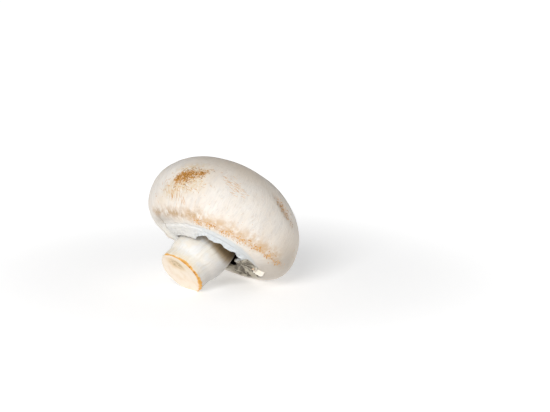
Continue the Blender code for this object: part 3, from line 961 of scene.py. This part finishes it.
def gillBlade(name, innerRadius):
    # a thin plate that stands along one radius, its free edge curved, closed all round
    across = np.linspace(0.0, 1.0, gills["columns"])
    radius = innerRadius + (gills["outerRadius"] - innerRadius) * across
    hang = gills["depth"] * np.sin(np.pi * (0.12 + 0.76 * across))
    down = np.linspace(0.0, 1.0, gills["rows"])
    height = gillRoof(radius)[:, None] - hang[:, None] * down[None]
    wave = 0.05 * mm * np.sin(across * 9.0)[:, None] * down[None]
    half = gills["thickness"] / 2 * (1.0 - 0.55 * down[None]) * np.ones_like(height)
    spread = np.repeat(radius[:, None], gills["rows"], 1)
    left, right = (np.stack([spread, wave + half * side, height], -1) for side in (-1, 1))
    ring = np.concatenate([left, right[:, ::-1]], 1)
    rows, columns = ring.shape[:2]
    mesh = bmesh.new()
    grid = [[mesh.verts.new(point) for point in row] for row in ring]
    for low, high in zip(grid, grid[1:]):
        for step in range(columns):
            turn = (step + 1) % columns
            mesh.faces.new((low[step], low[turn], high[turn], high[step]))
    for end in (grid[0], grid[-1]):
        for step in range(gills["rows"] - 1):
            mesh.faces.new((end[step], end[step + 1], end[columns - 2 - step], end[columns - 1 - step]))
    bmesh.ops.recalc_face_normals(mesh, faces=mesh.faces)
    data = bpy.data.meshes.new(name)
    mesh.to_mesh(data)
    mesh.free()
    return linked(name, data)


def ringTree(material):
    # repeats what it is given round the upright axis
    tree = bpy.data.node_groups.new("gillRing", "GeometryNodeTree")
    kinds = {"Geometry": "Geometry", "Count": "Int", "Start": "Float", "Sway": "Float", "Seed": "Int"}
    for label, kind in kinds.items():
        tree.interface.new_socket(label, in_out="INPUT", socket_type="NodeSocket" + kind)
    tree.interface.new_socket("Geometry", in_out="OUTPUT", socket_type="NodeSocketGeometry")
    nodes, links = tree.nodes, tree.links
    given, out = nodes.new("NodeGroupInput"), nodes.new("NodeGroupOutput")
    points = nodes.new("GeometryNodePoints")
    index = nodes.new("GeometryNodeInputIndex")
    operations = ("DIVIDE", "MULTIPLY", "ADD", "MULTIPLY_ADD")
    pitch, angle, started, swayed = (nodes.new("ShaderNodeMath") for _ in operations)
    for step, operation in zip((pitch, angle, started, swayed), operations):
        step.operation = operation
    pitch.inputs[0].default_value = 2.0 * math.pi
    random = nodes.new("FunctionNodeRandomValue")
    random.data_type = "FLOAT"
    random.inputs[2].default_value = -1.0
    random.inputs[3].default_value = 1.0
    spin = nodes.new("ShaderNodeCombineXYZ")
    placed = nodes.new("GeometryNodeInstanceOnPoints")
    real = nodes.new("GeometryNodeRealizeInstances")
    finish = nodes.new("GeometryNodeSetMaterial")
    finish.inputs["Material"].default_value = material
    for source, socket in (
        (given.outputs["Count"], points.inputs["Count"]),
        (given.outputs["Count"], pitch.inputs[1]),
        (index.outputs[0], angle.inputs[0]),
        (pitch.outputs[0], angle.inputs[1]),
        (angle.outputs[0], started.inputs[0]),
        (given.outputs["Start"], started.inputs[1]),
        (given.outputs["Seed"], random.inputs["Seed"]),
        (random.outputs[1], swayed.inputs[0]),
        (given.outputs["Sway"], swayed.inputs[1]),
        (started.outputs[0], swayed.inputs[2]),
        (swayed.outputs[0], spin.inputs["Z"]),
        (points.outputs[0], placed.inputs["Points"]),
        (given.outputs["Geometry"], placed.inputs["Instance"]),
        (spin.outputs[0], placed.inputs["Rotation"]),
        (placed.outputs[0], real.inputs[0]),
        (real.outputs[0], finish.inputs["Geometry"]),
        (finish.outputs[0], out.inputs[0]),
    ):
        links.new(source, socket)
    return tree


def setInputs(modifier, **values):
    for socket in modifier.node_group.interface.items_tree:
        if socket.in_out == "INPUT" and socket.name in values:
            modifier[socket.identifier] = values[socket.name]


def madePlain(piece):
    # its modifiers turned into a plain mesh
    bpy.context.view_layer.update()
    graph = bpy.context.evaluated_depsgraph_get()
    mesh = bpy.data.meshes.new_from_object(piece.evaluated_get(graph))
    piece.modifiers.clear()
    piece.data = mesh
    return piece


def meshPoints(mesh):
    flat = np.empty(len(mesh.vertices) * 3)
    mesh.vertices.foreach_get("co", flat)
    return flat.reshape(-1, 3)


def setPoints(mesh, points):
    mesh.vertices.foreach_set("co", np.ascontiguousarray(points, np.float32).ravel())
    mesh.update()


def mendMesh(piece):
    mesh = bmesh.new()
    mesh.from_mesh(piece.data)
    bmesh.ops.remove_doubles(mesh, verts=mesh.verts, dist=0.001 * mm)
    bmesh.ops.recalc_face_normals(mesh, faces=mesh.faces)
    mesh.to_mesh(piece.data)
    mesh.free()
    return piece


def gillPieces(place, material):
    tree = ringTree(material)
    pieces = []
    for name, count, inner, start in (
        ("gillBlades", gills["longCount"], gills["innerRadius"], 0.0),
        ("shortGillBlades", gills["shortCount"], gills["shortInnerRadius"], math.pi / gills["longCount"]),
    ):
        piece = gillBlade(name, inner)
        ring = piece.modifiers.new("gillRing", "NODES")
        ring.node_group = tree
        setInputs(ring, Count=count, Start=start, Sway=gills["sway"], Seed=gills["seed"])
        madePlain(piece)
        upright = meshPoints(piece.data)
        angle = np.degrees(np.arctan2(upright[:, 1], upright[:, 0])) % 360.0
        bent, _ = shapeCap(np.hypot(upright[:, 0], upright[:, 1]), upright[:, 2], angle)
        setPoints(piece.data, settle(bent, place))
        pieces.append(piece)
    radius = np.linspace(gills["outerRadius"], gills["innerRadius"], gills["bedRows"])
    roof = np.stack([radius, gillRoof(radius)], 1)
    line = np.concatenate([roof, roof[::-1] - [0.0, gills["bedThickness"]], roof[:1]])
    columns = gills["bedColumns"]
    angle = np.repeat(np.linspace(0, 360, columns, endpoint=False)[None], len(line), 0)
    points, _ = shapeCap(*(spun(values, columns) for values in line.T), angle)
    bed = ringMesh("gillBed", settle(points, place), {}, poles=(False, False))
    bed.data.materials.append(material)
    return pieces + [mendMesh(bed)]


# Torn strips that hang from the rim: angles and mm, from the root to the free end
shreds = {
    "strips": [
        {"path": [(165, radius, -10.5) for radius in (19.4, 18.3, 17.2, 16.1)],
         "width": [2.3, 2.3, 2.3, 2.2], "tilt": 90.0, "scuffed": 0.0, "square": 30},
        {"path": [(163, 17.0, -10.1), (161, 16.4, -10.8), (158, 16.3, -11.1), (156, 16.6, -10.9)],
         "width": [0.6, 0.9, 0.9, 0.5], "tilt": -20.0, "scuffed": 0.9, "square": 8},
    ],
    "thickness": 0.42,
    "rows": 44,
    "columns": 26,
}


def shredPiece(name, facts, place):
    angle, radius, height = softened(facts["path"], shreds["rows"]).T
    middle = onRing(radius, np.radians(angle), height)
    forward = np.gradient(middle, axis=0)
    forward /= np.linalg.norm(forward, axis=1, keepdims=True)
    lean = math.radians(facts["tilt"])
    outward = np.array([0.0, 0.0, -1.0]) * math.cos(lean) + np.array([0.0, 1.0, 0.0]) * math.sin(lean)
    across = np.cross(forward, outward)
    across /= np.linalg.norm(across, axis=1, keepdims=True)
    off = np.cross(across, forward)
    share = np.linspace(0.0, 1.0, shreds["rows"])
    width = np.interp(share, np.linspace(0, 1, len(facts["width"])), facts["width"]) / 2
    ends = np.sqrt(np.clip(1.0 - (2 * share - 1.0) ** facts["square"], 0.0, 1.0))
    ring = np.linspace(0.0, 2 * np.pi, shreds["columns"], endpoint=False)
    share, ring = np.meshgrid(share, ring, indexing="ij")
    side = np.sign(np.cos(ring)) * np.abs(np.cos(ring)) ** 0.4 * (width * ends)[:, None]
    thick = np.sign(np.sin(ring)) * np.abs(np.sin(ring)) ** 0.8 * shreds["thickness"] / 2 * ends[:, None]
    sample = np.stack([share * 7, side * 1.3, thick * 0.0], -1)
    side = side * (1.0 + 0.25 * layered(sample, 1.0, 61))
    thick = thick + 0.12 * layered(sample + 9.0, 1.2, 63) * ends[:, None] + 0.25 * side**2
    points = middle[:, None] + across[:, None] * side[..., None] + off[:, None] * thick[..., None]
    zero = np.zeros_like(share)
    marks = {
        "grain": np.stack([side * 3, thick * 3, share * 5], -1),
        "upright": points,
        "veilTone": 1.0 - facts["scuffed"] * smooth(0.3, 0.7, share),
        "ruddy": zero + facts["scuffed"],
        "scuffed": facts["scuffed"] * smooth(0.4, 0.8, share),
        "silky": zero + 1.0,
        "cream": zero + 1.0,
        # the first shred takes the flap's painted highlight
        "litFlap": 1.0 - facts["scuffed"] * smooth(0.3, 0.7, share),
    }
    return mendMesh(ringMesh(name, settle(points * mm, place), marks))


# Dried fibres that lie on the skin where it is bruised or scuffed. Headings: 0 runs round the cap, 90 down it
fibres = {
    "seed": 12,
    "points": 8,
    "farthest": 2.2,  # spreads from the middle
    "bend": 50.0,
    "lift": 0.045,
    "sink": 0.05,
    "groups": {
        # middle (angle, mm down), spread (degrees, mm), slope, count, heading, wander,
        # and the least and most of length, width and darkness
        "bruise": [(50, 32), (5.0, 1.4), -0.2, 170, -20, 60, (0.4, 1.3), (0.18, 0.40), (0.45, 1.0)],
        "bruiseEnd": [(60, 30), (2.6, 1.0), -0.2, 50, -25, 50, (0.3, 1.0), (0.16, 0.32), (0.35, 0.95)],
        "bruiseEdge": [(50, 32), (9.5, 2.1), -0.2, 80, -15, 60, (0.4, 1.4), (0.12, 0.26), (0.1, 0.6)],
        "belowBruise": [(54, 35), (7.0, 0.9), -0.1, 34, 0, 40, (0.5, 1.8), (0.12, 0.24), (0.05, 0.45)],
        "leftStreaks": [(45, 37), (5.6, 1.1), 0.1, 40, 58, 14, (1.2, 3.8), (0.12, 0.20), (0.1, 0.6)],
        "farLeft": [(30, 37), (4.5, 1.8), 0.0, 14, 40, 40, (0.5, 1.6), (0.14, 0.26), (0.1, 0.5)],
        "rightStreaks": [(85, 30), (4.4, 1.4), 0.1, 30, 0, 18, (1.2, 3.4), (0.12, 0.22), (0.0, 0.35)],
        "topStreaks": [(78, 28), (4.5, 0.8), 0.0, 14, -6, 20, (0.8, 2.0), (0.12, 0.20), (0.0, 0.35)],
        "speckles": [(130, 25), (5.6, 1.2), 0.16, 100, 25, 60, (0.3, 1.1), (0.16, 0.40), (0.15, 0.9)],
        "strays": [(100, 36), (45.0, 5.0), 0.0, 40, 20, 80, (0.2, 0.7), (0.10, 0.22), (0.0, 0.45)],
        "hidden": [(265, 34), (50.0, 6.0), 0.0, 60, 20, 80, (0.2, 1.6), (0.10, 0.24), (0.0, 0.5)],
        "crownSpecks": [(200, 14), (120.0, 7.0), 0.0, 26, 20, 80, (0.2, 0.8), (0.10, 0.22), (0.0, 0.4)],
    },
    # the scuff's clusters stand evenly along its line
    "scuff": {
        "count": 7, "start": 70.0, "pitch": 13.0,
        "each": [(2.6, 0.8), -0.045, 32, 28, 55, (0.3, 1.2), (0.20, 0.48), (0.0, 0.65)],
    },
}


def onGrid(grid, angle, down, levels):
    # the grid's value at an angle and a length down from the crown
    columns = columnAngles()
    row = np.interp(down, levels, np.arange(len(levels)))
    column = np.interp(columns[0] + (angle - columns[0]) % 360.0, columns, np.arange(len(columns)))
    low, left = np.minimum(row.astype(int), len(levels) - 2), column.astype(int) % cap["columns"]
    share, part = (row - low)[..., None], (column % 1.0)[..., None]
    right = (left + 1) % cap["columns"]
    upper = grid[low, left] * (1 - part) + grid[low, right] * part
    lower = grid[low + 1, left] * (1 - part) + grid[low + 1, right] * part
    return upper * (1 - share) + lower * share


def fibrePiece(name, skinPoints, place):
    draw = np.random.default_rng(fibres["seed"])
    step = np.linspace(0.0, 1.0, fibres["points"])
    paths = []
    scuff = fibres["scuff"]
    sides = scuff["start"] + scuff["pitch"] * np.arange(scuff["count"])
    clusters = [[(angle, scuffLevel(angle)), *scuff["each"]] for angle in sides]
    groups = [*fibres["groups"].values(), *clusters]
    for middle, spread, slope, count, heading, wander, long, wide, dark in groups:
        off = draw.normal(0.0, 1.0, (2, count)).clip(-fibres["farthest"], fibres["farthest"])
        length, width = draw.uniform(*long, count), draw.uniform(*wide, count)
        turn = heading + draw.uniform(-wander, wander, count)
        bend = draw.uniform(-fibres["bend"], fibres["bend"], count)
        direction = np.radians(turn[:, None] + bend[:, None] * (step - 0.5))
        stride = length[:, None] / fibres["points"]
        startAngle = middle[0] + spread[0] * off[0]
        startDown = middle[1] + spread[1] * off[1] + slope * spread[0] * off[0]
        down = startDown[:, None] + np.cumsum(np.sin(direction) * stride, 1)
        reach = cap["radius"] / mm * np.sin(np.clip(down / 36.0, 0.1, 1.0) * np.pi / 2)
        perDegree = math.radians(1.0) * reach
        angle = startAngle[:, None] + np.cumsum(np.cos(direction) * stride / perDegree, 1)
        thickness = width[:, None] / 2 * np.sin(np.pi * step) ** 0.7
        paths.append((angle, down, thickness, np.repeat(draw.uniform(*dark, count)[:, None], len(step), 1)))
    angle, down, half, dark = (np.concatenate(part) for part in zip(*paths))
    levels = capProfile()[1]
    middle = onGrid(skinPoints, angle, down, levels)
    out = onGrid(gridNormals(skinPoints), angle, down, levels)
    along = np.gradient(middle, axis=1)
    side = np.cross(out, along)
    side /= np.linalg.norm(side, axis=-1, keepdims=True)
    lift = (half / half.max())[..., None]
    sideways, sunk = side * half[..., None] * mm, out * fibres["sink"] * mm
    left, right = middle + sideways - sunk * 0.5, middle - sideways - sunk * 0.5
    top = middle + out * fibres["lift"] * mm * (0.4 + lift)
    below = middle - sunk * 2.0
    ring = np.stack([left, top, right, below], 2)[:, 1:-1]
    count, steps = ring.shape[:2]
    ends = middle[:, [0, -1]]
    vertices = np.concatenate([ring.reshape(-1, 3), ends.reshape(-1, 3)])
    shade = np.concatenate([np.repeat(dark[:, 1:-1, None], 4, 2).ravel(), dark[:, [0, -1]].ravel()])
    faces = []
    for strip in range(count):
        first = strip * steps * 4
        for row, turn in ((row, turn) for row in range(steps - 1) for turn in range(4)):
            low, high, after = first + row * 4, first + row * 4 + 4, (turn + 1) % 4
            faces.append((low + turn, low + after, high + after, high + turn))
        near = count * steps * 4 + strip * 2
        far = near + 1
        last = first + (steps - 1) * 4
        faces += [(near, first + (turn + 1) % 4, first + turn) for turn in range(4)]
        faces += [(far, last + turn, last + (turn + 1) % 4) for turn in range(4)]
    mesh = bpy.data.meshes.new(name)
    mesh.from_pydata(settle(vertices, place).tolist(), [], faces)
    storeMark(mesh, "dark", shade)
    mesh.shade_smooth()
    edges = np.empty(len(mesh.edges) * 2, int)
    mesh.edges.foreach_get("vertices", edges)
    near, far = edges.reshape(-1, 2).T
    creased = (np.abs(near - far) == 4) & (near % 2 == 0) & (np.maximum(near, far) < count * steps * 4)
    mesh.attributes.new("sharp_edge", "BOOLEAN", "EDGE").data.foreach_set("value", creased)
    return linked(name, mesh)


def fibreFinish():
    look = Finish("driedFibre")
    dark = look.mark("dark")
    colour = look.mix(look.ramp(dark, 0.0, 0.55), tint(220, 174, 112), tint(194, 138, 62))
    colour = look.mix(look.ramp(dark, 0.5, 1.0), colour, tint(136, 90, 32))
    return look.done(colour, 0.6)


def placeOf(surfaces):
    # moves the highest point to the solid's, centres the sides and scales them down to its width;
    # low and high are the box that settle presses everything back into
    low, high = (np.array(corner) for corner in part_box("cap_and_stem"))
    spread = np.concatenate([laid(points).reshape(-1, 3) for points in surfaces])
    lowest, highest = spread.min(0), spread.max(0)
    slack, topGap, sideGap = 1e-5, 0.001 * mm, 0.0001 * mm
    scale = np.array([*np.minimum(1.0, (high - low)[:2] / (highest - lowest)[:2]) * (1.0 - slack), 1.0])
    middle = (low + high) / 2 - (lowest + highest) / 2 * scale
    inset = np.array([sideGap, sideGap, 0.0])
    shift = np.array([middle[0], middle[1], high[2] - topGap - highest[2]])
    return {"scale": scale, "shift": shift, "low": low + inset, "high": high - inset}


capPoints, capMarked = capSurface()
stemPoints, stemMarked = stemSurface()
place = placeOf([capPoints, stemPoints])
print("cap and stem shaped")

skin, flesh, brown = capFinish(), stemFinish(), gillFinish()
capPiece = ringMesh("capAndVeil", settle(capPoints, place), capMarked)
stemPiece = ringMesh("stemBody", settle(stemPoints, place), stemMarked)
stemPiece.data.materials.append(flesh)
strips = enumerate(shreds["strips"], 1)
shredPieces = [shredPiece(f"veilShred{number}", facts, place) for number, facts in strips]
for piece in [capPiece] + shredPieces:
    piece.data.materials.append(skin)
fibrePieces = [fibrePiece("driedFibres", capPoints, place)]
fibrePieces[0].data.materials.append(fibreFinish())
print("cap and stem built:", len(capPiece.data.polygons), "and", len(stemPiece.data.polygons), "faces")

gillFlesh = gillPieces(place, brown)
print("gills built:", sum(len(piece.data.polygons) for piece in gillFlesh), "faces")

for piece in [capPiece, stemPiece] + shredPieces + fibrePieces:
    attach(piece, "root")
    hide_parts("cap_and_stem")
for piece in gillFlesh:
    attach(piece, "root")
    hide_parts("gills")

studio = {
    "floorSize": 8.0,
    "floorTone": (tint(250, 250, 250), tint(252, 252, 252)),
    "worldTone": (1.0, 1.0, 1.0, 1.0),
    "worldStrength": 0.38,
    "floorGlow": (0.30, 0.66),  # near the object and far from it
    "glowReach": (0.04, 0.17),
    "lights": [
        # name, direction it comes from, distance, size, watts
        ("keyLight", (-0.26, -0.86, 0.44), 0.8, 0.36, 4.2),
    ],
    "elevation": 12.0,
    "distance": 0.55,
    "span": 170.8 * mm,  # what the view takes in at the cap
    "aim": (15.65 * mm, 4.41 * mm),  # the view's middle, right of and above the cap's
}


def addFloor():
    bpy.ops.mesh.primitive_grid_add(x_subdivisions=8, y_subdivisions=8, size=studio["floorSize"])
    floor = bpy.context.object
    floor.name = "paleFloor"
    look = Finish("paleFloor")
    where = look.node("ShaderNodeTexCoord").outputs["Object"]
    faint = look.texture(where, 30.0, detail=2.0)
    away = look.node("ShaderNodeVectorMath", operation="LENGTH")
    look.put(away.inputs[0], where)
    low, high = studio["floorGlow"]
    share = look.ramp(away.outputs["Value"], *studio["glowReach"])
    glow = look.math("ADD", look.times(share, high - low), low)
    look.shader.inputs["Emission Color"].default_value = (1.0, 1.0, 1.0, 1.0)
    look.put(look.shader.inputs["Emission Strength"], glow)
    floor.data.materials.append(look.done(look.mix(faint, *studio["floorTone"]), 0.8))


def addLights(target):
    for name, direction, distance, size, watts in studio["lights"]:
        data = bpy.data.lights.new(name, "AREA")
        data.size = size
        data.energy = watts
        lamp = bpy.data.objects.new(name, data)
        bpy.context.scene.collection.objects.link(lamp)
        aim = Vector(direction).normalized()
        lamp.location = target + aim * distance
        lamp.rotation_euler = aim.to_track_quat("Z", "Y").to_euler()
    world = bpy.data.worlds.new("studio")
    bpy.context.scene.world = world
    world.use_nodes = True
    background = world.node_tree.nodes["Background"]
    background.inputs["Color"].default_value = studio["worldTone"]
    background.inputs["Strength"].default_value = studio["worldStrength"]


def addCamera(capCentre):
    lift = math.radians(studio["elevation"])
    right, up = Vector((1.0, 0.0, 0.0)), Vector((0.0, math.sin(lift), math.cos(lift)))
    back = Vector((0.0, -math.cos(lift), math.sin(lift)))
    data = bpy.data.cameras.new("camera")
    data.sensor_width = 36.0
    data.lens = 36.0 * studio["distance"] / studio["span"]
    data.clip_start, data.clip_end = 0.01, 20.0
    camera = bpy.data.objects.new("camera", data)
    bpy.context.scene.collection.objects.link(camera)
    camera.location = capCentre + right * studio["aim"][0] + up * studio["aim"][1] + back * studio["distance"]
    camera.rotation_euler = back.to_track_quat("Z", "Y").to_euler()
    bpy.context.scene.camera = camera


bpy.context.scene.view_settings.view_transform = "Standard"
capCentre = Vector(place["shift"])
addFloor()
addLights(capCentre)
addCamera(capCentre)
print("studio ready")
